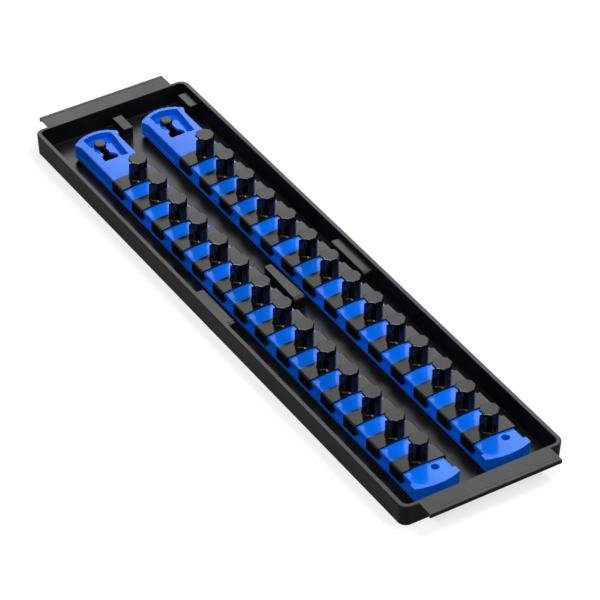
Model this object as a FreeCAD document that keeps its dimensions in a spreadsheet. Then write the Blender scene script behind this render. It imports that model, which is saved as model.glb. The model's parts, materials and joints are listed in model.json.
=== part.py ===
import FreeCAD, Part
import math
import os

import Sketcher

# Socket organizer drawer tray. A shallow moulded tray holds two sliding rails, and every rail carries a row of
# clips whose posts take sockets of one square drive.
# X runs across the tray, Y along it towards the keyhole end, and Z up from the underside.

# Driving dimensions in millimetres. Each is written once, here, and goes to the sheet of the same document.
DIMENSIONS = {
    # Tray shell
    "tray_length": 482.6,
    "tray_width": 126.2,
    "tray_height": 16.4,
    "tray_corner_radius": 7.0,
    "tray_outer_draft": 1.0,
    "tray_floor": 2.0,
    "tray_rim_side": 3.4,
    "tray_rim_end": 2.6,
    "tray_inner_draft": 2.2,
    "tray_inner_radius": 4.5,
    "tray_edge_chamfer": 0.6,
    # Finger lips, one at each end of the tray
    "lip_reach": 13.1,
    "lip_width": 102.0,
    "lip_thickness": 1.5,
    "lip_turned_edge": 3.2,
    "lip_edge_wall": 1.5,
    "lip_groove_inset": 2.3,
    "lip_groove_width": 0.7,
    "lip_groove_depth": 0.25,
    "lip_corner_radius": 3.0,
    # Bearer ribs, a pair under each rail
    "bearer_height": 2.8,
    "bearer_width": 1.6,
    "bearer_far_gap": 14.0,
    # Pegs that hold the keyhole end of each rail
    "peg_shaft_radius": 2.5,
    "peg_head_radius": 4.45,
    "peg_head_height": 3.1,
    "peg_head_chamfer": 0.7,
    "peg_head_clearance": 0.2,
    "peg_end_margin": 11.1,
    # Guide blocks at mid length and upright tabs at the keyhole end
    "guide_height": 12.5,
    "guide_length": 42.1,
    "guide_offset": 2.3,
    "guide_side_width": 8.0,
    "guide_centre_narrow": 5.4,
    "guide_centre_wide": 8.4,
    "guide_rounding": 3.0,
    "tab_height": 12.3,
    "tab_width": 7.3,
    "tab_length": 17.0,
    "tab_wall_margin": 10.3,
    "tab_side_margin": 8.05,
    # Rails
    "rail_side_margin": 29.95,
    "rail_near_gap": 5.0,
    "rail_far_gap": 2.9,
    "rail_base_width": 34.4,
    "rail_flare_reach": 0.3,
    "rail_strip_height": 2.2,
    "rail_web_inset": 3.2,
    "rail_plate_inset": 1.55,
    "rail_plate_height": 2.8,
    "rail_lip_drop": 5.2,
    "rail_crown": 0.85,
    "rail_lip_radius": 0.8,
    "rail_skin": 1.6,
    "rail_wall": 1.8,
    "far_block_length": 51.5,
    "near_block_length": 12.5,
    "far_flare_length": 10.9,
    "near_flare_length": 9.5,
    "far_end_sagitta": 5.9,
    "near_end_sagitta": 4.2,
    # Recess and keyhole at the far end of each rail
    "recess_left": 10.1,
    "recess_right": 12.4,
    "recess_right_near": 9.7,
    "recess_rim": 2.75,
    "recess_near_margin": 9.0,
    "recess_depth": 4.6,
    "recess_floor_thickness": 2.0,
    "unlock_travel": 15.1,
    "keyhole_radius": 6.0,
    "slot_clearance": 0.5,
    "end_wall": 5.6,
    # Hole at the near end of each rail
    "end_hole_radius": 3.0,
    "end_hole_side": 5.4,
    "end_hole_margin": 15.0,
    # Clips: saddle
    "clips_per_rail": 14,
    "clip_length": 13.0,
    "clip_far_gap": 7.6,
    "clip_near_gap": 7.9,
    "saddle_skin": 1.3,
    "saddle_skirt_wall": 1.8,
    "saddle_skirt_drop": 8.4,
    "saddle_shoulder": 0.9,
    "saddle_slide_gap": 0.1,
    "saddle_side_gap": 0.15,
    "saddle_hook_gap": 0.2,
    "saddle_hook_lead": 1.2,
    "saddle_web_gap": 0.3,
    # Clips: post, for a socket with a square hole
    "socket_square": 12.7,
    "socket_clearance": 0.1,
    "post_height": 34.1,
    "post_head_thickness": 1.4,
    "post_head_chamfer": 0.35,
    "post_collar_height": 2.1,
    "notch_depth": 4.8,
    "tongue_width": 6.4,
    "tongue_thickness": 1.3,
    "tongue_inset": 0.9,
    "tongue_top_gap": 2.9,
    "tongue_corner": 1.5,
}

# Spare length past a face, so that a cut clears it, and how deep a raised form starts inside what carries it.
CLEAR = 3.0
ROOT = 0.4

# How close a place must be to count as the one that is meant, and how far an edge's direction, a unit vector,
# may lean from the one that is meant.
NEARBY = 0.05
LEAN = 0.1

SHEET_NAME = "Sizes"


class Size:
    """A length with its value now and the sheet expression that keeps it live."""

    def __init__(self, value, text):
        self.value = value
        self.text = text

    def __add__(self, other):
        other = as_size(other)
        return Size(self.value + other.value, f"({self.text} + {other.text})")

    def __radd__(self, other):
        return as_size(other) + self

    def __sub__(self, other):
        other = as_size(other)
        return Size(self.value - other.value, f"({self.text} - {other.text})")

    def __rsub__(self, other):
        return as_size(other) - self

    def __mul__(self, other):
        other = as_size(other)
        return Size(self.value * other.value, f"({self.text} * {other.text})")

    def __rmul__(self, other):
        return as_size(other) * self

    def __truediv__(self, other):
        other = as_size(other)
        return Size(self.value / other.value, f"({self.text} / {other.text})")

    def __neg__(self):
        return Size(-self.value, f"(-1 * {self.text})")


def as_size(number):
    """A plain number as a Size; a Size is left as it is."""
    if isinstance(number, Size):
        return number
    return Size(float(number), f"({number})")


def root(size):
    return Size(math.sqrt(size.value), f"sqrt({size.text})")


def slope_angle(rise, run):
    """The angle in degrees of a slope that moves rise sideways over run."""
    return Size(math.degrees(math.atan(rise.value / run.value)), f"atan({rise.text} / {run.text})")


def arc_radius(half_chord, sagitta):
    return (half_chord * half_chord + sagitta * sagitta) / (2 * sagitta)


class Sheet:
    """The spreadsheet of driving dimensions. Each is read as an attribute and comes back as a Size."""

    def __init__(self, document, dimensions):
        self.cells = document.addObject("Spreadsheet::Sheet", SHEET_NAME)
        self.numbers = dimensions
        for row, (name, value) in enumerate(dimensions.items(), start=1):
            self.cells.set(f"A{row}", name)
            self.cells.set(f"B{row}", str(value))
            self.cells.setAlias(f"B{row}", name)

    def __getattr__(self, name):
        return Size(self.numbers[name], f"{SHEET_NAME}.{name}")


class Layout:
    """Places and levels that more than one piece shares, worked out from the sheet."""

    def __init__(self, s):
        # Levels above the tray's underside
        self.bearer_top = s.tray_floor + s.bearer_height
        self.strip_top = self.bearer_top + s.rail_strip_height
        self.plate_under = self.strip_top + s.rail_lip_drop
        self.plate_edge = self.plate_under + s.rail_plate_height
        self.crown_top = self.plate_edge + s.rail_crown
        self.recess_floor = self.plate_edge - s.recess_depth
        self.head_under = self.recess_floor + s.peg_head_clearance
        # Half widths of a rail, and the crown of its plate, continued over the flared ends
        self.base_half = s.rail_base_width / 2
        self.flare_half = self.base_half + s.rail_flare_reach
        self.plate_half = self.base_half - s.rail_plate_inset
        self.web_half = self.base_half - s.rail_web_inset
        self.crown_radius = arc_radius(self.plate_half, s.rail_crown)
        # Ends and stations of a rail along Y
        foot_y = s.tray_length / 2 - s.tray_rim_end - s.tray_inner_draft
        self.rail_far = foot_y - s.rail_far_gap - s.unlock_travel
        self.rail_near = -(foot_y - s.rail_near_gap)
        self.rail_x = s.tray_width / 2 - s.tray_rim_side - s.tray_inner_draft - s.rail_side_margin
        self.far_block = self.rail_far - s.far_block_length
        self.near_block = self.rail_near + s.near_block_length
        self.peg = self.rail_far - s.peg_end_margin
        self.keyhole = self.peg - s.unlock_travel
        self.recess_near = self.keyhole - s.recess_near_margin
        # Clips, evenly spread between the rail's two blocks
        self.first_clip = self.far_block - s.clip_far_gap - s.clip_length / 2
        self.last_clip = self.near_block + s.clip_near_gap + s.clip_length / 2
        self.clip_pitch = (self.first_clip - self.last_clip) / (s.clips_per_rail - 1)
        self.post_width = s.socket_square - s.socket_clearance
        self.head_base = s.post_height - s.post_head_thickness
        self.saddle_edge = self.plate_edge + s.saddle_slide_gap + s.saddle_skin
        self.collar_top = self.saddle_edge + s.post_collar_height


# Drawing helpers


def bind(target, path, size):
    target.setExpression(path, as_size(size).text)


def origin_plane(body, role):
    for feature in body.Origin.OriginFeatures:
        if feature.Role == role:
            return feature
    raise ValueError(f"{body.Label} has no {role}")


def sketch_on(body, role, name, offset=None):
    """A sketch on one of the body's origin planes, moved along that plane's normal."""
    sketch = body.newObject("Sketcher::SketchObject", name)
    sketch.AttachmentSupport = [(origin_plane(body, role), "")]
    sketch.MapMode = "FlatFace"
    if offset is not None:
        bind(sketch, "AttachmentOffset.Base.z", offset)
    return sketch


def place_point(sketch, edge, end, x, y):
    """Ties one end of an edge to its distances from the sketch's origin."""
    across = sketch.addConstraint(Sketcher.Constraint("DistanceX", -1, 1, edge, end, x.value))
    bind(sketch, f"Constraints[{across}]", x)
    up = sketch.addConstraint(Sketcher.Constraint("DistanceY", -1, 1, edge, end, y.value))
    bind(sketch, f"Constraints[{up}]", y)


def add_arc(sketch, start, finish, radius, turn):
    """An arc of less than half a turn; turn is 1 anticlockwise and -1 clockwise. Returns its edge and ends."""
    chord = finish - start
    left = FreeCAD.Vector(-chord.y, chord.x, 0) / chord.Length
    reach = math.sqrt(max(radius.value**2 - (chord.Length / 2) ** 2, 0))
    centre = (start + finish) / 2 + left * reach * turn
    first, last = (start, finish) if turn > 0 else (finish, start)
    begin = math.atan2(first.y - centre.y, first.x - centre.x)
    end = math.atan2(last.y - centre.y, last.x - centre.x)
    circle = Part.Circle(centre, FreeCAD.Vector(0, 0, 1), radius.value)
    edge = sketch.addGeometry(Part.ArcOfCircle(circle, begin, end), False)
    constraint = sketch.addConstraint(Sketcher.Constraint("Radius", edge, radius.value))
    bind(sketch, f"Constraints[{constraint}]", radius)
    return (edge, 1, 2) if turn > 0 else (edge, 2, 1)


def outline(sketch, corners):
    """A closed loop. A corner is (x, y), or (x, y, radius, turn) where an arc leaves it for the next corner."""
    corners = [(as_size(c[0]), as_size(c[1])) + tuple(c[2:]) for c in corners]
    edges = []
    for index, corner in enumerate(corners):
        following = corners[(index + 1) % len(corners)]
        start = FreeCAD.Vector(corner[0].value, corner[1].value, 0)
        finish = FreeCAD.Vector(following[0].value, following[1].value, 0)
        if len(corner) > 2:
            edges.append(add_arc(sketch, start, finish, corner[2], corner[3]))
        else:
            edges.append((sketch.addGeometry(Part.LineSegment(start, finish), False), 1, 2))
    for index, (edge, start_end, finish_end) in enumerate(edges):
        following = edges[(index + 1) % len(edges)]
        sketch.addConstraint(Sketcher.Constraint("Coincident", edge, finish_end, following[0], following[1]))
        place_point(sketch, edge, start_end, corners[index][0], corners[index][1])


def rectangle(sketch, left, right, bottom, top):
    outline(sketch, [(left, bottom), (right, bottom), (right, top), (left, top)])


def rounded_rectangle(sketch, half_x, half_y, radius):
    """A rectangle round the origin with the same arc at each corner."""
    straight_x = half_x - radius
    straight_y = half_y - radius
    outline(
        sketch,
        [
            (-straight_x, -half_y),
            (straight_x, -half_y, radius, 1),
            (half_x, -straight_y),
            (half_x, straight_y, radius, 1),
            (straight_x, half_y),
            (-straight_x, half_y, radius, 1),
            (-half_x, straight_y),
            (-half_x, -straight_y, radius, 1),
        ],
    )


def circle(sketch, x, y, radius):
    x = as_size(x)
    y = as_size(y)
    centre = FreeCAD.Vector(x.value, y.value, 0)
    edge = sketch.addGeometry(Part.Circle(centre, FreeCAD.Vector(0, 0, 1), radius.value), False)
    constraint = sketch.addConstraint(Sketcher.Constraint("Radius", edge, radius.value))
    bind(sketch, f"Constraints[{constraint}]", radius)
    place_point(sketch, edge, 3, x, y)


def octagon(sketch, width):
    """A regular octagon round the origin with flats facing X and Y, width across its flats."""
    half = width / 2
    side = half * (math.sqrt(2) - 1)
    ring = [(half, -side), (half, side), (side, half), (-side, half)]
    ring += [(-half, side), (-half, -side), (-side, -half), (side, -half)]
    outline(sketch, ring)


def extrude(body, kind, sketch, name, length, reverse=False, symmetric=False, taper=None):
    feature = body.newObject(kind, name)
    feature.Profile = sketch
    feature.Reversed = reverse
    if symmetric:
        feature.SideType = "Symmetric"
    bind(feature, "Length", length)
    if taper is not None:
        bind(feature, "TaperAngle", taper)
    sketch.Visibility = False
    return feature


def pad(body, sketch, name, length, **options):
    return extrude(body, "PartDesign::Pad", sketch, name, length, **options)


def pocket(body, sketch, name, length, **options):
    return extrude(body, "PartDesign::Pocket", sketch, name, length, **options)


def mirror(body, features, role, name):
    feature = body.newObject("PartDesign::Mirrored", name)
    feature.Originals = features
    feature.MirrorPlane = (origin_plane(body, role), [""])
    body.Tip = feature
    return feature


def edges_where(feature, test):
    """Names of the edges whose middle point and direction pass the test."""
    names = []
    for number, edge in enumerate(feature.Shape.Edges, start=1):
        middle = edge.valueAt((edge.FirstParameter + edge.LastParameter) / 2)
        along = edge.tangentAt((edge.FirstParameter + edge.LastParameter) / 2)
        if test(middle, along, edge):
            names.append(f"Edge{number}")
    return names


def dress_edges(body, base, name, size, test, kind="PartDesign::Fillet"):
    body.Document.recompute()
    names = edges_where(base, test)
    if not names:
        raise ValueError(f"{body.Label}: {name} found no edge")
    feature = body.newObject(kind, name)
    feature.Base = (base, names)
    bind(feature, "Radius" if kind.endswith("Fillet") else "Size", size)
    body.Document.recompute()
    return feature


def new_body(document, label):
    body = document.addObject("PartDesign::Body", "".join(word.title() for word in label.split("_")))
    body.Label = label
    return body


def near(value, target):
    return abs(value - as_size(target).value) < NEARBY


# Tray


def build_tray(document, s, at):
    body = new_body(document, "tray")
    tray_shell(body, s)
    add_lips(body, s)
    add_bearers(body, s, at)
    add_pegs(body, s, at)
    add_guides(body, s)
    add_tabs(body, s)


def tray_shell(body, s):
    """The outer block with drafted walls, hollowed from above to a flat floor."""
    foot_x = s.tray_width / 2 - s.tray_outer_draft
    foot_y = s.tray_length / 2 - s.tray_outer_draft
    sketch = sketch_on(body, "XY_Plane", "FootOutline")
    rounded_rectangle(sketch, foot_x, foot_y, s.tray_corner_radius - s.tray_outer_draft)
    draft = slope_angle(s.tray_outer_draft, s.tray_height)
    pad(body, sketch, "Block", s.tray_height, taper=draft)
    inner_x = s.tray_width / 2 - s.tray_rim_side
    inner_y = s.tray_length / 2 - s.tray_rim_end
    sketch = sketch_on(body, "XY_Plane", "RimOpening", s.tray_height)
    rounded_rectangle(sketch, inner_x, inner_y, s.tray_inner_radius)
    depth = s.tray_height - s.tray_floor
    hollow = pocket(body, sketch, "Hollow", depth, taper=-slope_angle(s.tray_inner_draft, depth))
    middle = s.tray_rim_end / 2
    dress_edges(
        body,
        hollow,
        "RimChamfer",
        s.tray_edge_chamfer,
        lambda point, along, edge: near(point.z, s.tray_height)
        and (abs(point.x) > (inner_x + middle).value or abs(point.y) > (inner_y + middle).value),
        kind="PartDesign::Chamfer",
    )


def add_lips(body, s):
    """A flat finger lip flush with the rim at each end: turned-down outer edge, groove line and bead."""
    wall = s.tray_length / 2 - s.tray_rim_end / 2
    tip = s.tray_length / 2 + s.lip_reach
    top = s.tray_height
    groove_out = tip - s.lip_groove_inset
    groove_in = groove_out - s.lip_groove_width
    rounding = s.lip_edge_wall / 2
    sketch = sketch_on(body, "YZ_Plane", "LipSection")
    outline(
        sketch,
        [
            (wall, top - s.lip_thickness),
            (tip - s.lip_edge_wall, top - s.lip_thickness),
            (tip - s.lip_edge_wall, top - s.lip_turned_edge),
            (tip, top - s.lip_turned_edge),
            (tip, top - rounding, rounding, 1),
            (tip - rounding, top),
            (groove_out, top),
            (groove_out - s.lip_groove_width / 2, top - s.lip_groove_depth),
            (groove_in, top),
            (wall, top),
        ],
    )
    lip = pad(body, sketch, "Lip", s.lip_width, symmetric=True)
    body.Document.recompute()
    mirror(body, [lip], "XZ_Plane", "BothLips")


def add_bearers(body, s, at):
    """Four low ribs, under the two edges of each rail, from the near wall to just short of the rail's end."""
    outer = s.rail_base_width / 2
    near_y = -(s.tray_length / 2 - s.tray_rim_end)
    far_y = at.rail_far - s.bearer_far_gap
    sketch = sketch_on(body, "XY_Plane", "BearerOutline", s.tray_floor - ROOT)
    for centre in (-at.rail_x, at.rail_x):
        rectangle(sketch, centre - outer, centre - outer + s.bearer_width, near_y, far_y)
        rectangle(sketch, centre + outer - s.bearer_width, centre + outer, near_y, far_y)
    pad(body, sketch, "Bearers", at.bearer_top - s.tray_floor + ROOT)


def add_pegs(body, s, at):
    """A mushroom peg on each rail's centre line."""
    shafts = sketch_on(body, "XY_Plane", "PegShaftOutline", s.tray_floor - ROOT)
    heads = sketch_on(body, "XY_Plane", "PegHeadOutline", at.head_under)
    for centre in (-at.rail_x, at.rail_x):
        circle(shafts, centre, at.peg, s.peg_shaft_radius)
        circle(heads, centre, at.peg, s.peg_head_radius)
    pad(body, shafts, "PegShafts", at.head_under - s.tray_floor + ROOT + ROOT)
    heads = pad(body, heads, "PegHeads", s.peg_head_height)
    top = at.head_under + s.peg_head_height
    dress_edges(
        body,
        heads,
        "PegHeadChamfer",
        s.peg_head_chamfer,
        lambda point, along, edge: near(point.z, top) and near(edge.BoundBox.XLength, 2 * s.peg_head_radius),
        kind="PartDesign::Chamfer",
    )


def add_guides(body, s):
    """Three blocks at mid length: a tapered one between the rails and one against each side wall."""
    near_y = s.guide_offset - s.guide_length / 2
    far_y = s.guide_offset + s.guide_length / 2
    height = s.guide_height - s.tray_floor + ROOT
    narrow = s.guide_centre_narrow / 2
    wide = s.guide_centre_wide / 2
    wall = s.tray_width / 2 - s.tray_rim_side / 2
    side = s.tray_width / 2 - s.tray_rim_side - s.guide_side_width
    sketch = sketch_on(body, "XY_Plane", "GuideOutline", s.tray_floor - ROOT)
    outline(sketch, [(-wide, near_y), (wide, near_y), (narrow, far_y), (-narrow, far_y)])
    rectangle(sketch, side, wall, near_y, far_y)
    rectangle(sketch, -wall, -side, near_y, far_y)
    guides = pad(body, sketch, "Guides", height)
    dress_edges(
        body,
        guides,
        "GuideRounding",
        s.guide_rounding,
        lambda point, along, edge: near(point.y, near_y)
        and near(point.z, s.guide_height)
        and abs(along.y) < LEAN,
    )


def add_tabs(body, s):
    """Two flat-topped uprights in front of the far wall."""
    far_y = s.tray_length / 2 - s.tab_wall_margin
    half = s.tab_width / 2
    sketch = sketch_on(body, "XY_Plane", "TabOutline", s.tray_floor - ROOT)
    for centre in (as_size(0), s.tray_width / 2 - s.tab_side_margin):
        rectangle(sketch, centre - half, centre + half, far_y - s.tab_length, far_y)
    pad(body, sketch, "Tabs", s.tab_height - s.tray_floor + ROOT)


# Rails


def build_rail(document, label, centre, s, at):
    body = new_body(document, label)
    bind(body, "Placement.Base.x", centre)
    rail_block(body, s, at)
    rail_side_grooves(body, s, at)
    rail_underside(body, s, at)
    rail_recess(body, s, at)
    rail_holes(body, s, at)
    return body


def rail_block(body, s, at):
    """The plan shape with flared, arched ends, cut to one crowned top."""
    base = at.base_half
    flare = at.flare_half
    far_corner = at.rail_far - s.far_end_sagitta
    near_corner = at.rail_near + s.near_end_sagitta
    far_flare = at.rail_far - s.far_flare_length
    near_flare = at.rail_near + s.near_flare_length
    sketch = sketch_on(body, "XY_Plane", "PlanOutline", at.bearer_top)
    outline(
        sketch,
        [
            (-flare, near_corner, arc_radius(flare, s.near_end_sagitta), 1),
            (flare, near_corner),
            (flare, near_flare),
            (base, near_flare),
            (base, far_flare),
            (flare, far_flare),
            (flare, far_corner, arc_radius(flare, s.far_end_sagitta), 1),
            (-flare, far_corner),
            (-flare, far_flare),
            (-base, far_flare),
            (-base, near_flare),
            (-flare, near_flare),
        ],
    )
    pad(body, sketch, "Block", at.crown_top - at.bearer_top + CLEAR)
    # The crown's arc runs past the widest part of the rail on both sides.
    past = flare + CLEAR
    drop = at.crown_radius - root(at.crown_radius * at.crown_radius - past * past)
    roof = at.crown_top + 2 * CLEAR
    sketch = sketch_on(body, "XZ_Plane", "CrownSection", -(at.rail_near + at.rail_far) / 2)
    outline(
        sketch,
        [
            (past, at.crown_top - drop, at.crown_radius, 1),
            (-past, at.crown_top - drop),
            (-past, roof),
            (past, roof),
        ],
    )
    pocket(body, sketch, "Crown", at.rail_far - at.rail_near + CLEAR, symmetric=True)


def rail_side_grooves(body, s, at):
    """Trims the plate to its own width above the base strip, and recesses the web under its lips."""
    base = at.base_half
    plate = at.plate_half
    web = at.web_half
    lip = s.rail_lip_radius
    far_flare = at.rail_far - s.far_flare_length
    near_flare = at.rail_near + s.near_flare_length
    shoulders = sketch_on(body, "XZ_Plane", "ShoulderSection", -(near_flare + far_flare) / 2)
    grooves = sketch_on(body, "XZ_Plane", "WebSection", -(at.near_block + at.far_block) / 2)
    roof = at.crown_top + CLEAR
    for side, turn in ((1, 1), (-1, -1)):
        outline(
            shoulders,
            [
                (side * plate, at.strip_top),
                (side * plate, at.plate_edge - lip, lip, turn),
                (side * (plate - lip), at.plate_edge),
                (side * (plate - lip), roof),
                (side * (base + CLEAR), roof),
                (side * (base + CLEAR), at.strip_top),
            ],
        )
        outline(
            grooves,
            [
                (side * web, at.strip_top),
                (side * web, at.plate_under),
                (side * (base + CLEAR), at.plate_under),
                (side * (base + CLEAR), at.strip_top),
            ],
        )
    pocket(body, shoulders, "Shoulders", far_flare - near_flare, symmetric=True)
    flare = at.flare_half
    far_corner = at.rail_far - s.far_end_sagitta
    tapers = sketch_on(body, "XY_Plane", "TaperOutline", roof)
    for side in (1, -1):
        outline(
            tapers,
            [
                (side * plate, far_flare - ROOT),
                (side * (flare + CLEAR), far_flare - ROOT),
                (side * (flare + CLEAR), far_corner),
                (side * flare, far_corner),
                (side * plate, far_flare),
            ],
        )
    pocket(body, tapers, "Tapers", roof - at.strip_top)
    pocket(body, grooves, "WebGrooves", at.far_block - at.near_block, symmetric=True)


def rail_underside(body, s, at):
    """Hollows the rail from below, and leaves room under the recess for the peg's shaft."""
    half = at.web_half - s.rail_wall
    far_y = at.recess_near - s.rail_wall
    near_y = at.rail_near + s.end_wall
    sketch = sketch_on(body, "XY_Plane", "ChannelOutline", at.bearer_top)
    rectangle(sketch, -half, half, near_y, far_y)
    pocket(body, sketch, "Channel", at.plate_edge - s.rail_skin - at.bearer_top, reverse=True)
    sketch = sketch_on(body, "XY_Plane", "PegRoomOutline", at.bearer_top)
    rectangle(sketch, -half, half, far_y - ROOT, at.rail_far - s.end_wall)
    depth = at.recess_floor - s.recess_floor_thickness - at.bearer_top
    pocket(body, sketch, "PegRoom", depth, reverse=True)


def rail_recess(body, s, at):
    """The sunk floor that the peg's head rides on. Its far side follows the rail's arched end."""
    end_radius = arc_radius(at.flare_half, s.far_end_sagitta)
    rim_radius = end_radius - s.recess_rim
    arc_centre = at.rail_far - s.recess_rim - rim_radius
    left_corner = arc_centre + root(rim_radius * rim_radius - s.recess_left * s.recess_left)
    right_corner = arc_centre + root(rim_radius * rim_radius - s.recess_right * s.recess_right)
    roof = at.crown_top + CLEAR
    sketch = sketch_on(body, "XY_Plane", "RecessOutline", roof)
    outline(
        sketch,
        [
            (-s.recess_left, at.recess_near),
            (s.recess_right_near, at.recess_near),
            (s.recess_right, right_corner, rim_radius, 1),
            (-s.recess_left, left_corner),
        ],
    )
    pocket(body, sketch, "Recess", roof - at.recess_floor)


def rail_holes(body, s, at):
    """The keyhole that passes the peg's head, its slot, and the small hole at the near end."""
    roof = at.crown_top + CLEAR
    through = roof - at.bearer_top + CLEAR
    slot = s.peg_shaft_radius + s.slot_clearance
    sketch = sketch_on(body, "XY_Plane", "KeyholeOutline", roof)
    circle(sketch, 0, at.keyhole, s.keyhole_radius)
    pocket(body, sketch, "Keyhole", through)
    sketch = sketch_on(body, "XY_Plane", "SlotOutline", roof)
    outline(
        sketch,
        [
            (-slot, at.keyhole),
            (slot, at.keyhole),
            (slot, at.peg, slot, 1),
            (0, at.peg + slot, slot, 1),
            (-slot, at.peg),
        ],
    )
    pocket(body, sketch, "Slot", through)
    sketch = sketch_on(body, "XY_Plane", "EndHoleOutline", roof)
    circle(sketch, s.end_hole_side, at.rail_near + s.end_hole_margin, s.end_hole_radius)
    pocket(body, sketch, "EndHole", through)


# Clips


def build_clip(document, label, centre, station, s, at):
    body = new_body(document, label)
    bind(body, "Placement.Base.x", centre)
    bind(body, "Placement.Base.y", station)
    clip_saddle(body, s, at)
    clip_post(body, s, at)
    clip_notch(body, s, at)
    return body


def clip_saddle(body, s, at):
    """A C-shaped section that wraps over the plate, with a hook with a sloped lead-in under each lip."""
    inner = at.plate_half + s.saddle_side_gap
    outer = inner + s.saddle_skirt_wall
    hook = at.web_half + s.saddle_web_gap
    foot = at.saddle_edge - s.saddle_skirt_drop
    hook_top = at.plate_under - s.saddle_hook_gap
    shoulder = s.saddle_shoulder
    inner_edge = at.plate_edge + s.saddle_slide_gap
    sketch = sketch_on(body, "XZ_Plane", "SaddleSection")
    outline(
        sketch,
        [
            (outer, foot),
            (outer, at.saddle_edge - shoulder),
            (outer - shoulder, at.saddle_edge, arc_radius(outer - shoulder, s.rail_crown), 1),
            (-(outer - shoulder), at.saddle_edge),
            (-outer, at.saddle_edge - shoulder),
            (-outer, foot),
            (-inner, foot),
            (-hook, foot + s.saddle_hook_lead),
            (-hook, hook_top),
            (-inner, hook_top),
            (-inner, inner_edge, arc_radius(inner, s.rail_crown), -1),
            (inner, inner_edge),
            (inner, hook_top),
            (hook, hook_top),
            (hook, foot + s.saddle_hook_lead),
            (inner, foot),
        ],
    )
    pad(body, sketch, "Saddle", s.clip_length, symmetric=True)


def clip_post(body, s, at):
    """The post: a regular octagonal prism with flats along X and Y and an eased top."""
    sketch = sketch_on(body, "XY_Plane", "PostOutline", at.saddle_edge)
    octagon(sketch, at.post_width)
    post = pad(body, sketch, "Post", s.post_height - at.saddle_edge)
    dress_edges(
        body,
        post,
        "PostChamfer",
        s.post_head_chamfer,
        lambda point, along, edge: near(point.z, s.post_height) and abs(along.z) < LEAN,
        kind="PartDesign::Chamfer",
    )


def clip_notch(body, s, at):
    """A notch in one side of the post, between its collar and its head, and the spring tongue that stands in it."""
    flank = at.post_width / 2
    sketch = sketch_on(body, "XZ_Plane", "NotchSection")
    rectangle(sketch, -(flank + CLEAR), s.notch_depth - flank, at.collar_top, at.head_base)
    pocket(body, sketch, "Notch", at.post_width + CLEAR, symmetric=True)
    tongue_top = at.head_base - s.tongue_top_gap
    tongue_half = s.tongue_width / 2
    corner = s.tongue_corner
    sketch = sketch_on(body, "YZ_Plane", "TongueOutline", s.tongue_inset + s.tongue_thickness / 2 - flank)
    outline(
        sketch,
        [
            (-tongue_half, at.collar_top - ROOT),
            (tongue_half, at.collar_top - ROOT),
            (tongue_half, tongue_top - corner),
            (tongue_half - corner, tongue_top),
            (-(tongue_half - corner), tongue_top),
            (-tongue_half, tongue_top - corner),
        ],
    )
    pad(body, sketch, "Tongue", s.tongue_thickness, symmetric=True)


# Assembly


def check_and_write(bodies):
    """Every piece is sound before any file is written."""
    for body in bodies:
        for item in [body] + body.Group:
            if "Invalid" in item.State or "Error" in item.State:
                raise ValueError(f"{body.Label}: {item.Label} is {item.State}")
        if body.Shape.isNull() or not body.Shape.isValid():
            raise ValueError(f"{body.Label} has no valid shape")
        if len(body.Shape.Solids) != 1:
            raise ValueError(f"{body.Label} is {len(body.Shape.Solids)} solids")
    os.makedirs("parts", exist_ok=True)
    for body in bodies:
        body.Shape.exportStep(f"parts/{body.Label}.step")


def main():
    document = FreeCAD.newDocument("SocketTray")
    sheet = Sheet(document, DIMENSIONS)
    document.recompute()
    layout = Layout(sheet)
    build_tray(document, sheet, layout)
    sides = {"left": -layout.rail_x, "right": layout.rail_x}
    for side, centre in sides.items():
        build_rail(document, f"rail_{side}", centre, sheet, layout)
        for number in range(int(sheet.clips_per_rail.value)):
            station = layout.first_clip - number * layout.clip_pitch
            build_clip(document, f"clip_{side}_{number + 1:02d}", centre, station, sheet, layout)
    document.recompute()
    check_and_write([item for item in document.Objects if item.TypeId == "PartDesign::Body"])


main()
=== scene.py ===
import json
import math

import bmesh
import bpy
from bpy.props import FloatProperty, FloatVectorProperty, PointerProperty
from mathutils import Matrix, Vector

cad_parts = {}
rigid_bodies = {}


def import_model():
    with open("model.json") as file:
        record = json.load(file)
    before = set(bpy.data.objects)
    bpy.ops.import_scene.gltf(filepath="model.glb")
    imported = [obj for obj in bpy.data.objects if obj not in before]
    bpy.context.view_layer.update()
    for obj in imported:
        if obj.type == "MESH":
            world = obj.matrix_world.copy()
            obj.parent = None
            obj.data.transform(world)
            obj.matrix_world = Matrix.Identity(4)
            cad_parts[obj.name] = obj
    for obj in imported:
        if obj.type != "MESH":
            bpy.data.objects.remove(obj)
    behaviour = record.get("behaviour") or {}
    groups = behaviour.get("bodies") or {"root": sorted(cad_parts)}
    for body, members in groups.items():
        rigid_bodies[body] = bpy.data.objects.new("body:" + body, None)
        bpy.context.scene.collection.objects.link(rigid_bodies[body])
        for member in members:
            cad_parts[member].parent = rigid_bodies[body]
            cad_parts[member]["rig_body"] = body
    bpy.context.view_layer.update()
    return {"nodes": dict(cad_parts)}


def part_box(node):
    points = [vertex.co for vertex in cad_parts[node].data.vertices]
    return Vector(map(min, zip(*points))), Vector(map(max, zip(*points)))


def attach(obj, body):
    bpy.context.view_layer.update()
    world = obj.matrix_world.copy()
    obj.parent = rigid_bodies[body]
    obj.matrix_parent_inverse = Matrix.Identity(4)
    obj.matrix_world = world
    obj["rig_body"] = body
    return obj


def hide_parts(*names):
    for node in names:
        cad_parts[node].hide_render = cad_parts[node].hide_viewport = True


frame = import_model()

bl_info = {
    "name": "Socket tray finish",
    "version": (1, 0, 0),
    "blender": (4, 5, 0),
    "location": "View3D > Sidebar > Socket tray",
    "description": "Dresses the socket organizer tray, its rails and its clips, and sets the stage",
    "category": "Object",
}

MILLIMETRE = 0.001
PANEL_TAB = "Socket tray"

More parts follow.
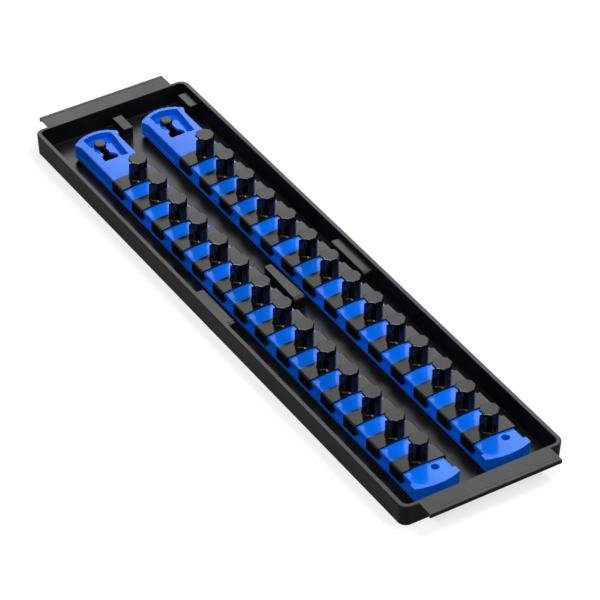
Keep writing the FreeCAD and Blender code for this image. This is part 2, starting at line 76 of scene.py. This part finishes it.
TRAY = "tray"
RAILS = sorted(name for name in frame["nodes"] if name.startswith("rail_"))
CLIPS = sorted(name for name in frame["nodes"] if name.startswith("clip_"))

# Every piece: cleaning the solid's mesh, rounding it and shading it
WELD_DISTANCE = 0.002 * MILLIMETRE
FLAT_ANGLE = math.radians(0.5)
ROUND_STEPS = 3
MOULDING_ANGLE = math.radians(40)
CLIP_ANGLE = math.radians(50)
SMOOTH_ANGLE = math.radians(28)
FLAT_WEIGHT = 100

# Tray: the band along its outline that counts as outer wall
OUTER_BAND = 4.0 * MILLIMETRE
END_BAND = 16.0 * MILLIMETRE
OUTER_LEAN = 0.5

# Rails: the tube under the hole near the near end, placed from the rail's middle, near end and top
HOLE_SIDE = 5.4 * MILLIMETRE
HOLE_MARGIN = 15.0 * MILLIMETRE
HOLE_RADIUS = 2.98 * MILLIMETRE
BOSS_WALL = 0.9 * MILLIMETRE
BOSS_DROP = 1.2 * MILLIMETRE
BOSS_LENGTH = 8.0 * MILLIMETRE
BOSS_SIDES = 40
BOSS_SMOOTH_ANGLE = math.radians(32)
CAP_LEAN = 0.9

# Clips: the ledge at the post's foot and the saddle's shoulders
SAME_PLACE = 0.05 * MILLIMETRE
LEDGE_DROP = 15.6 * MILLIMETRE
LEDGE_REACH = 6.2 * MILLIMETRE
LEDGE_BEVEL = 0.8 * MILLIMETRE
SHOULDER_REACH = 12.0 * MILLIMETRE
SHOULDER_LEVEL = 6.0 * MILLIMETRE
SHOULDER_LENGTH = SHOULDER_REACH / 2
SHOULDER_ROUND = 0.5 * MILLIMETRE

# Moulded plastic: noise in cells per metre, the part of each noise that is used, and what it changes
DRIFT_CELLS, DRIFT_DETAIL = 22.0, 3.0
FLOW_CELLS, FLOW_DETAIL = 160.0, 2.0
GRAIN_DETAIL = 2.0
COLOUR_BAND = (0.35, 0.65)
GLOSS_BAND = (0.3, 0.7)
# The edge bands and gains make every sharp edge paler: partly wear, partly a painted highlight that stands
# in for glints on the edges.
WEAR_AND_GLINT_BAND = (0.35, 0.7)
LEAST_WEAR_AND_GLINT = 0.25
PALE_GAIN, PALE_LIFT = 1.18, 0.0015
DARK_GAIN = 0.86
# Paler edge colour: partly wear, partly a painted highlight along sharp edges.
WEAR_AND_GLINT_GAIN = 1.3
WEAR_AND_GLINT_RADIUS = 0.5 * MILLIMETRE
WEAR_AND_GLINT_LEAN = (0.97, 0.75)
WEAR_AND_GLINT_SAMPLES = 4
REFRACTION = 1.5
GRAIN_STRENGTH = 0.2

# Stage: softboxes as place, target, width, depth and the setting that holds the power
WHITE = (1.0, 1.0, 1.0, 1.0)
CENTRE = (0.0, 0.0, 0.0)
SOFTBOXES = {
    "Far softbox": ((1.33, 1.49, 1.6), CENTRE, 1.9, 1.25, "far_power"),
    "Left softbox": ((-1.11, -0.64, 1.57), (0.0, -0.4, 0.0), 0.9, 0.13, "left_power"),
    "Right softbox": ((0.75, -0.25, 1.95), CENTRE, 0.6, 0.6, "right_power"),
    "Near softbox": ((0.8, -1.2, 1.35), CENTRE, 0.5, 0.5, "near_power"),
}
WORLD_LIGHT = 0.25
WORLD_SEEN = 1.0
FLOOR_SIZE = 8.0
FLOOR_GAP = 0.2 * MILLIMETRE
FLOOR_GLOW = 0.72
SENSOR_WIDTH = 36.0
CAMERA_REACH = 50.0


# Settings


class TrayFinish(bpy.types.PropertyGroup):
    """Edges and colour of the tray moulding."""

    edge: FloatProperty(
        name="Edge rounding",
        description="Radius of the moulding's outer edges",
        default=0.35 * MILLIMETRE,
        unit="LENGTH",
    )
    colour: FloatVectorProperty(
        name="Colour", description="Colour of the tray's plastic", default=(0.0025, 0.0025, 0.003),
        size=3, subtype="COLOR",
    )


class RailFinish(bpy.types.PropertyGroup):
    """Edges and colour of the two rails."""

    edge: FloatProperty(
        name="Edge rounding",
        description="Radius of the rail's edges",
        default=0.6 * MILLIMETRE,
        unit="LENGTH",
    )
    colour: FloatVectorProperty(
        name="Colour", description="Colour of the rail's plastic", default=(0.0, 0.12, 0.7),
        size=3, subtype="COLOR",
    )


class ClipFinish(bpy.types.PropertyGroup):
    """Edges and colour of the clips."""

    edge: FloatProperty(
        name="Edge rounding",
        description="Radius of a clip's edges",
        default=0.22 * MILLIMETRE,
        unit="LENGTH",
    )
    colour: FloatVectorProperty(
        name="Colour", description="Colour of the clips' plastic", default=(0.0025, 0.0025, 0.003),
        size=3, subtype="COLOR",
    )


class StageSettings(bpy.types.PropertyGroup):
    """Camera, lamps and floor."""

    azimuth: FloatProperty(
        name="Azimuth", description="Turn of the camera round the tray, from its near end to its left",
        default=math.radians(32.43), subtype="ANGLE",
    )
    elevation: FloatProperty(
        name="Elevation", description="Height of the camera above the floor, as an angle",
        default=math.radians(38.19), subtype="ANGLE",
    )
    roll: FloatProperty(
        name="Roll", description="Turn of the camera about its own line of sight",
        default=math.radians(0.45), subtype="ANGLE",
    )
    distance: FloatProperty(
        name="Distance", description="From the camera to the point that it aims at",
        default=2.522, unit="LENGTH",
    )
    aim: FloatVectorProperty(
        name="Aim", description="The point that the camera looks at", default=(0.0014, -0.0163, 0.008),
        size=3, subtype="XYZ",
    )
    lens: FloatProperty(name="Lens", description="Focal length in millimetres", default=222.0)
    far_power: FloatProperty(
        name="Far softbox", description="Power of the wide softbox beyond the far end",
        default=35.0, unit="POWER",
    )
    left_power: FloatProperty(
        name="Left softbox", description="Power of the narrow softbox above the left side",
        default=16.0, unit="POWER",
    )
    right_power: FloatProperty(
        name="Right softbox", description="Power of the softbox above the right side",
        default=19.0, unit="POWER",
    )
    near_power: FloatProperty(
        name="Near softbox", description="Power of the softbox above the near end",
        default=10.0, unit="POWER",
    )
    floor_colour: FloatVectorProperty(
        name="Floor", description="Colour of the floor", default=(0.82, 0.82, 0.82),
        size=3, subtype="COLOR",
    )


# Node materials


def node(tree, kind, place, **values):
    """Adds a shader node at a place in the node editor. Values name its attributes."""
    made = tree.nodes.new(kind)
    made.location = place
    for name, value in values.items():
        setattr(made, name, value)
    return made


def ramp(tree, place, source, band, low, high):
    """Spreads the part of a source that lies in a band from one value to another."""
    made = node(tree, "ShaderNodeMapRange", place)
    made.inputs["From Min"].default_value = band[0]
    made.inputs["From Max"].default_value = band[1]
    made.inputs["To Min"].default_value = low
    made.inputs["To Max"].default_value = high
    tree.links.new(source, made.inputs["Value"])
    return made.outputs["Result"]


def noise(tree, place, position, cells, detail):
    """Noise of so many cells per metre over the object's own coordinates."""
    made = node(tree, "ShaderNodeTexNoise", place)
    made.inputs["Scale"].default_value = cells
    made.inputs["Detail"].default_value = detail
    tree.links.new(position, made.inputs["Vector"])
    return made.outputs["Fac"]


def blend_colour(tree, place, factor, first, second):
    """Mixes two colours by a factor socket. Either colour is a value or a socket."""
    made = node(tree, "ShaderNodeMix", place, data_type="RGBA")
    tree.links.new(factor, made.inputs["Factor"])
    for name, colour in (("A", first), ("B", second)):
        socket = [s for s in made.inputs if s.name == name and s.type == "RGBA"][0]
        if isinstance(colour, bpy.types.NodeSocket):
            tree.links.new(colour, socket)
        else:
            socket.default_value = colour
    return [s for s in made.outputs if s.type == "RGBA"][0]


def edge_mask(tree, place):
    """1 along sharp edges and 0 on flats, from how far a rounded normal leans off the face."""
    x, y = place
    rounded = node(tree, "ShaderNodeBevel", place, samples=WEAR_AND_GLINT_SAMPLES)
    rounded.inputs["Radius"].default_value = WEAR_AND_GLINT_RADIUS
    geometry = node(tree, "ShaderNodeNewGeometry", (x, y - 180))
    lean = node(tree, "ShaderNodeVectorMath", (x + 180, y), operation="DOT_PRODUCT")
    tree.links.new(rounded.outputs["Normal"], lean.inputs[0])
    tree.links.new(geometry.outputs["Normal"], lean.inputs[1])
    return ramp(tree, (x + 360, y), lean.outputs["Value"], WEAR_AND_GLINT_LEAN, 0.0, 1.0)


def moulded_plastic(name, colour, rough, specular, grain, grain_height, sheen_rise, edge_wear_and_glint):
    """Moulded plastic: colour drift, fine mould texture, uneven gloss, and sharp edges made paler, partly
    as wear and partly as a painted highlight along the edges.
    """
    material = bpy.data.materials.new(name)
    material.use_nodes = True
    tree = material.node_tree
    tree.nodes.clear()
    output = node(tree, "ShaderNodeOutputMaterial", (900, 0))
    surface = node(tree, "ShaderNodeBsdfPrincipled", (620, 0))
    tree.links.new(surface.outputs["BSDF"], output.inputs["Surface"])
    surface.inputs["IOR"].default_value = REFRACTION
    surface.inputs["Specular IOR Level"].default_value = specular
    position = node(tree, "ShaderNodeTexCoord", (-900, 0)).outputs["Object"]

    drift = noise(tree, (-680, 260), position, DRIFT_CELLS, DRIFT_DETAIL)
    flow = noise(tree, (-680, 60), position, FLOW_CELLS, FLOW_DETAIL)
    dark = (*[c * DARK_GAIN for c in colour], 1.0)
    pale = (*[min(c * PALE_GAIN + PALE_LIFT, 1.0) for c in colour], 1.0)
    # Paler colour for sharp edges: partly wear, partly a painted highlight that stands in for edge glints.
    wear_and_glint_colour = (*[min(c * WEAR_AND_GLINT_GAIN + edge_wear_and_glint, 1.0) for c in colour], 1.0)
    patches = ramp(tree, (-460, 260), drift, COLOUR_BAND, 0.0, 1.0)
    mottled = blend_colour(tree, (-240, 300), patches, dark, pale)
    edges = edge_mask(tree, (-680, -420))
    # Mask of the paler edges, broken up by noise: partly wear, partly a painted highlight.
    wear_and_glint_mask = node(tree, "ShaderNodeMath", (-60, -300), operation="MULTIPLY")
    tree.links.new(edges, wear_and_glint_mask.inputs[0])
    tree.links.new(ramp(tree, (-460, 60), flow, WEAR_AND_GLINT_BAND, LEAST_WEAR_AND_GLINT, 1.0), wear_and_glint_mask.inputs[1])
    skin = blend_colour(tree, (160, 240), wear_and_glint_mask.outputs["Value"], mottled, wear_and_glint_colour)
    tree.links.new(skin, surface.inputs["Base Color"])

    gloss = ramp(tree, (-240, 60), drift, GLOSS_BAND, rough - sheen_rise, rough + sheen_rise)
    tree.links.new(gloss, surface.inputs["Roughness"])
    texture = noise(tree, (-680, -140), position, grain, GRAIN_DETAIL)
    bump = node(tree, "ShaderNodeBump", (340, -220))
    bump.inputs["Strength"].default_value = GRAIN_STRENGTH
    bump.inputs["Distance"].default_value = grain_height
    tree.links.new(texture, bump.inputs["Height"])
    tree.links.new(bump.outputs["Normal"], surface.inputs["Normal"])
    return material


# Modelling


def deselect():
    if bpy.context.object and bpy.context.object.mode != "OBJECT":
        bpy.ops.object.mode_set(mode="OBJECT")
    bpy.ops.object.select_all(action="DESELECT")


def pick(obj):
    deselect()
    obj.select_set(True)
    bpy.context.view_layer.objects.active = obj


def welded_copy(cad_node, name):
    """A copy of a CAD node's mesh as clean, joined faces, ready to be shaped."""
    source = frame["nodes"][cad_node]
    piece = bpy.data.objects.new(name, source.data.copy())
    piece.data.materials.clear()
    bpy.context.scene.collection.objects.link(piece)
    pick(piece)
    bpy.ops.object.mode_set(mode="EDIT")
    bpy.ops.mesh.select_all(action="SELECT")
    bpy.ops.mesh.remove_doubles(threshold=WELD_DISTANCE)
    bpy.ops.mesh.dissolve_limited(angle_limit=FLAT_ANGLE)
    bpy.ops.mesh.normals_make_consistent(inside=False)
    bpy.ops.object.mode_set(mode="OBJECT")
    return piece


def octagon_reach(place):
    """How far out a place is, measured across the flats of an octagon about the Z axis."""
    x, y = abs(place.x), abs(place.y)
    return max(x, y, (x + y) / math.sqrt(2))


def soften(piece, radius, steps, chosen):
    """Bevels the edges that a test picks, wider than the rest."""
    pick(piece)
    bpy.ops.object.mode_set(mode="EDIT")
    bpy.ops.mesh.select_mode(type="EDGE")
    bpy.ops.mesh.select_all(action="DESELECT")
    shape = bmesh.from_edit_mesh(piece.data)
    for edge in shape.edges:
        if len(edge.link_faces) == 2 and chosen(edge):
            edge.select_set(True)
    bmesh.update_edit_mesh(piece.data)
    bpy.ops.mesh.bevel(offset=radius, segments=steps, affect="EDGES", clamp_overlap=True)
    bpy.ops.object.mode_set(mode="OBJECT")


def round_edges(piece, radius, sharper_than):
    """Rounds every edge sharper than an angle, and smooths what is left."""
    pick(piece)
    bevel = piece.modifiers.new("Rounding", "BEVEL")
    bevel.width = radius
    bevel.segments = ROUND_STEPS
    bevel.limit_method = "ANGLE"
    bevel.angle_limit = sharper_than
    bevel.use_clamp_overlap = True
    bevel.harden_normals = False
    bpy.ops.object.modifier_apply(modifier=bevel.name)
    bpy.ops.object.shade_smooth_by_angle(angle=SMOOTH_ANGLE)
    flats = piece.modifiers.new("Flat faces", "WEIGHTED_NORMAL")
    flats.mode = "FACE_AREA"
    flats.weight = FLAT_WEIGHT
    flats.keep_sharp = True
    bpy.ops.object.modifier_apply(modifier=flats.name)


def finish_piece(piece, cad_node, material):
    """Gives a piece its material and body, in place of its CAD node."""
    piece.data.materials.clear()
    piece.data.materials.append(material)
    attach(piece, frame["nodes"][cad_node]["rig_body"])
    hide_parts(cad_node)
    if tuple(piece.matrix_world.translation) != (0.0, 0.0, 0.0):
        raise RuntimeError(f"{piece.name} isn't at the origin")


class SOCKETTRAY_OT_tray(bpy.types.Operator):
    """Make the tray moulding with rounded edges in black plastic"""

    bl_idname = "sockettray.tray"
    bl_label = "Tray"

    def execute(self, context):
        settings = context.scene.sockettray_tray
        piece = welded_copy(TRAY, "tray_moulding")
        round_edges(piece, settings.edge, MOULDING_ANGLE)
        plastic = moulded_plastic(
            "Tray plastic", settings.colour, rough=0.3, specular=0.17, grain=2600.0,
            grain_height=0.06 * MILLIMETRE, sheen_rise=0.05, edge_wear_and_glint=0.02,
        )
        finish_piece(piece, TRAY, plastic)
        self.dull_outer_walls(piece, settings)
        return {"FINISHED"}

    def dull_outer_walls(self, piece, settings):
        """Gives the outer walls a coarser and duller texture than the rest."""
        dull = moulded_plastic(
            "Tray outer wall plastic", settings.colour, rough=0.5, specular=0.04, grain=1800.0,
            grain_height=0.1 * MILLIMETRE, sheen_rise=0.05, edge_wear_and_glint=0.02,
        )
        piece.data.materials.append(dull)
        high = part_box(TRAY)[1]
        for face in piece.data.polygons:
            upright = abs(face.normal.z) < OUTER_LEAN
            outward = face.normal.x * face.center.x > 0.0 and abs(face.center.x) > high.x - OUTER_BAND
            endward = face.normal.y * face.center.y > 0.0 and abs(face.center.y) > high.y - END_BAND
            if upright and (outward or endward):
                face.material_index = 1


class SOCKETTRAY_OT_rails(bpy.types.Operator):
    """Make both rails with rounded edges in blue plastic"""

    bl_idname = "sockettray.rails"
    bl_label = "Rails"

    def execute(self, context):
        settings = context.scene.sockettray_rail
        plastic = moulded_plastic(
            "Rail plastic", settings.colour, rough=0.12, specular=0.115, grain=2200.0,
            grain_height=0.02 * MILLIMETRE, sheen_rise=0.04, edge_wear_and_glint=0.05,
        )
        for name in RAILS:
            piece = welded_copy(name, f"{name}_moulding")
            round_edges(piece, settings.edge, MOULDING_ANGLE)
            finish_piece(piece, name, plastic)
            self.add_boss(name, plastic)
        return {"FINISHED"}

    def add_boss(self, rail, plastic):
        """Hangs a tube of the same plastic under the hole near the near end, as its wall."""
        low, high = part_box(rail)
        middle = (low.x + high.x) / 2
        top = high.z - BOSS_DROP
        deselect()
        bpy.ops.mesh.primitive_cylinder_add(
            vertices=BOSS_SIDES, radius=HOLE_RADIUS + BOSS_WALL, depth=BOSS_LENGTH,
            location=(middle + HOLE_SIDE, low.y + HOLE_MARGIN, top - BOSS_LENGTH / 2),
        )
        boss = bpy.context.object
        boss.name = f"{rail}_end_boss"
        bpy.ops.object.transform_apply(location=True)
        bpy.ops.object.mode_set(mode="EDIT")
        bpy.ops.mesh.select_mode(type="FACE")
        bpy.ops.mesh.select_all(action="DESELECT")
        shape = bmesh.from_edit_mesh(boss.data)
        for face in shape.faces:
            face.select_set(abs(face.normal.z) > CAP_LEAN)
        bmesh.update_edit_mesh(boss.data)
        bpy.ops.mesh.inset(thickness=BOSS_WALL)
        bpy.ops.mesh.bridge_edge_loops()
        bpy.ops.mesh.select_all(action="SELECT")
        bpy.ops.mesh.normals_make_consistent(inside=False)
        bpy.ops.object.mode_set(mode="OBJECT")
        bpy.ops.object.shade_smooth_by_angle(angle=BOSS_SMOOTH_ANGLE)
        boss.data.materials.append(plastic)
        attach(boss, frame["nodes"][rail]["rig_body"])


class SOCKETTRAY_OT_clips(bpy.types.Operator):
    """Make one clip with rounded edges in black plastic, and copy it to every station"""

    bl_idname = "sockettray.clips"
    bl_label = "Clips"

    def execute(self, context):
        settings = context.scene.sockettray_clip
        plastic = moulded_plastic(
            "Clip plastic", settings.colour, rough=0.13, specular=0.115, grain=3000.0,
            grain_height=0.04 * MILLIMETRE, sheen_rise=0.05, edge_wear_and_glint=0.04,
        )
        pattern = welded_copy(CLIPS[0], "clip_pattern")
        self.soften_foot_and_shoulders(pattern)
        round_edges(pattern, settings.edge, CLIP_ANGLE)
        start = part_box(CLIPS[0])[0]
        for name in CLIPS:
            piece = bpy.data.objects.new(f"{name}_moulding", pattern.data.copy())
            context.scene.collection.objects.link(piece)
            piece.data.transform(Matrix.Translation(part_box(name)[0] - start))
            finish_piece(piece, name, plastic)
        bpy.data.objects.remove(pattern)
        return {"FINISHED"}

    def soften_foot_and_shoulders(self, pattern):
        """Bevels the ledge that the notch leaves at the post's foot, and rounds the saddle's shoulders."""
        low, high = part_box(CLIPS[0])
        post = (low + high) / 2
        ledge = high.z - LEDGE_DROP

        def on_the_ledge(edge):
            level = all(abs(v.co.z - ledge) < SAME_PLACE for v in edge.verts)
            return level and all(octagon_reach(v.co - post) > LEDGE_REACH for v in edge.verts)

        def on_a_shoulder(edge):
            beside = all(abs(v.co.x - post.x) > SHOULDER_REACH for v in edge.verts)
            near_top = all(low.z + SHOULDER_LEVEL < v.co.z < ledge for v in edge.verts)
            along = abs(edge.verts[0].co.y - edge.verts[1].co.y) > SHOULDER_LENGTH
            return beside and near_top and along

        soften(pattern, LEDGE_BEVEL, 1, on_the_ledge)
        soften(pattern, SHOULDER_ROUND, ROUND_STEPS, on_a_shoulder)


# Stage


def aim_at(obj, target, roll=0.0):
    """Turns an object's -Z to a point, then rolls it about that line."""
    towards = (Vector(target) - obj.location).normalized()
    turned = towards.to_track_quat("-Z", "Y").to_matrix() @ Matrix.Rotation(roll, 3, "Z")
    obj.rotation_euler = turned.to_euler()


def softbox(name, place, target, width, depth, power):
    """Adds a rectangular lamp that faces a target."""
    lamp = bpy.data.lights.new(name, "AREA")
    lamp.shape = "RECTANGLE"
    lamp.size = width
    lamp.size_y = depth
    lamp.energy = power
    obj = bpy.data.objects.new(name, lamp)
    bpy.context.scene.collection.objects.link(obj)
    obj.location = place
    aim_at(obj, target)


def where_seen(tree, place, lit, seen):
    """One shader for the light that falls on things, another where the camera, gloss or glass sees it."""
    x, y = place
    path = node(tree, "ShaderNodeLightPath", (x - 600, y + 260))
    total = path.outputs["Is Camera Ray"]
    for step, ray in enumerate(("Is Glossy Ray", "Is Transmission Ray")):
        either = node(tree, "ShaderNodeMath", (x - 380 + 180 * step, y + 260), operation="MAXIMUM")
        tree.links.new(total, either.inputs[0])
        tree.links.new(path.outputs[ray], either.inputs[1])
        total = either.outputs["Value"]
    mixed = node(tree, "ShaderNodeMixShader", place)
    tree.links.new(total, mixed.inputs["Fac"])
    tree.links.new(lit.outputs[0], mixed.inputs[1])
    tree.links.new(seen.outputs[0], mixed.inputs[2])
    return mixed.outputs["Shader"]


def paper(colour):
    """Pale background paper that looks white and keeps a soft shadow."""
    material = bpy.data.materials.new("Floor paper")
    material.use_nodes = True
    tree = material.node_tree
    tree.nodes.clear()
    lit = node(tree, "ShaderNodeBsdfDiffuse", (-400, 0))
    lit.inputs["Color"].default_value = (*colour, 1.0)
    bright = node(tree, "ShaderNodeBsdfDiffuse", (-400, -160))
    bright.inputs["Color"].default_value = WHITE
    glow = node(tree, "ShaderNodeEmission", (-400, -320))
    glow.inputs["Color"].default_value = WHITE
    glow.inputs["Strength"].default_value = 1.0
    seen = node(tree, "ShaderNodeMixShader", (-160, -200))
    seen.inputs["Fac"].default_value = FLOOR_GLOW
    tree.links.new(bright.outputs["BSDF"], seen.inputs[1])
    tree.links.new(glow.outputs["Emission"], seen.inputs[2])
    output = node(tree, "ShaderNodeOutputMaterial", (320, 0))
    tree.links.new(where_seen(tree, (100, 0), lit, seen), output.inputs["Surface"])
    return material


class SOCKETTRAY_OT_stage(bpy.types.Operator):
    """Set the floor, the lamps, the world and the camera"""

    bl_idname = "sockettray.stage"
    bl_label = "Stage"

    def execute(self, context):
        settings = context.scene.sockettray_stage
        self.add_floor(settings)
        self.add_lamps(settings)
        self.add_world(context)
        self.add_camera(context, settings)
        context.scene.view_settings.view_transform = "Standard"
        return {"FINISHED"}

    def add_floor(self, settings):
        deselect()
        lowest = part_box(TRAY)[0].z
        bpy.ops.mesh.primitive_plane_add(size=FLOOR_SIZE, location=(0, 0, lowest - FLOOR_GAP))
        floor = bpy.context.object
        floor.name = "floor"
        floor.data.materials.append(paper(settings.floor_colour))

    def add_lamps(self, settings):
        for name, (place, target, width, depth, power) in SOFTBOXES.items():
            softbox(name, place, target, width, depth, getattr(settings, power))

    def add_world(self, context):
        world = bpy.data.worlds.new("Studio")
        context.scene.world = world
        world.use_nodes = True
        tree = world.node_tree
        lit = tree.nodes["Background"]
        lit.inputs["Color"].default_value = WHITE
        lit.inputs["Strength"].default_value = WORLD_LIGHT
        white = node(tree, "ShaderNodeBackground", (0, -200))
        white.inputs["Color"].default_value = WHITE
        white.inputs["Strength"].default_value = WORLD_SEEN
        output = tree.nodes["World Output"]
        tree.links.new(where_seen(tree, (200, 0), lit, white), output.inputs["Surface"])

    def add_camera(self, context, settings):
        camera = bpy.data.cameras.new("Camera")
        camera.lens = settings.lens
        camera.sensor_width = SENSOR_WIDTH
        camera.clip_end = CAMERA_REACH
        obj = bpy.data.objects.new("Camera", camera)
        context.scene.collection.objects.link(obj)
        flat = math.cos(settings.elevation)
        away = Vector((
            -math.sin(settings.azimuth) * flat,
            -math.cos(settings.azimuth) * flat,
            math.sin(settings.elevation),
        ))
        obj.location = Vector(settings.aim) + away * settings.distance
        aim_at(obj, settings.aim, settings.roll)
        context.scene.camera = obj


class SOCKETTRAY_PT_panel(bpy.types.Panel):
    """The tray's pieces and stage in the 3D view's sidebar"""

    bl_idname = "SOCKETTRAY_PT_panel"
    bl_label = "Socket tray"
    bl_space_type = "VIEW_3D"
    bl_region_type = "UI"
    bl_category = PANEL_TAB

    def draw(self, context):
        for settings, operator in STEPS:
            box = self.layout.box()
            group = getattr(context.scene, settings)
            for name in group.bl_rna.properties.keys():
                if name not in ("rna_type", "name"):
                    box.prop(group, name)
            box.operator(operator)


STEPS = (
    ("sockettray_tray", "sockettray.tray"),
    ("sockettray_rail", "sockettray.rails"),
    ("sockettray_clip", "sockettray.clips"),
    ("sockettray_stage", "sockettray.stage"),
)
GROUPS = {
    "sockettray_tray": TrayFinish,
    "sockettray_rail": RailFinish,
    "sockettray_clip": ClipFinish,
    "sockettray_stage": StageSettings,
}
CLASSES = (
    *GROUPS.values(),
    SOCKETTRAY_OT_tray,
    SOCKETTRAY_OT_rails,
    SOCKETTRAY_OT_clips,
    SOCKETTRAY_OT_stage,
    SOCKETTRAY_PT_panel,
)


def register():
    for item in CLASSES:
        bpy.utils.register_class(item)
    for name, group in GROUPS.items():
        setattr(bpy.types.Scene, name, PointerProperty(type=group))


def unregister():
    for name in GROUPS:
        delattr(bpy.types.Scene, name)
    for item in reversed(CLASSES):
        bpy.utils.unregister_class(item)


def main():
    register()
    bpy.ops.sockettray.tray()
    bpy.ops.sockettray.rails()
    bpy.ops.sockettray.clips()
    bpy.ops.sockettray.stage()


if __name__ == "__main__":
    main()
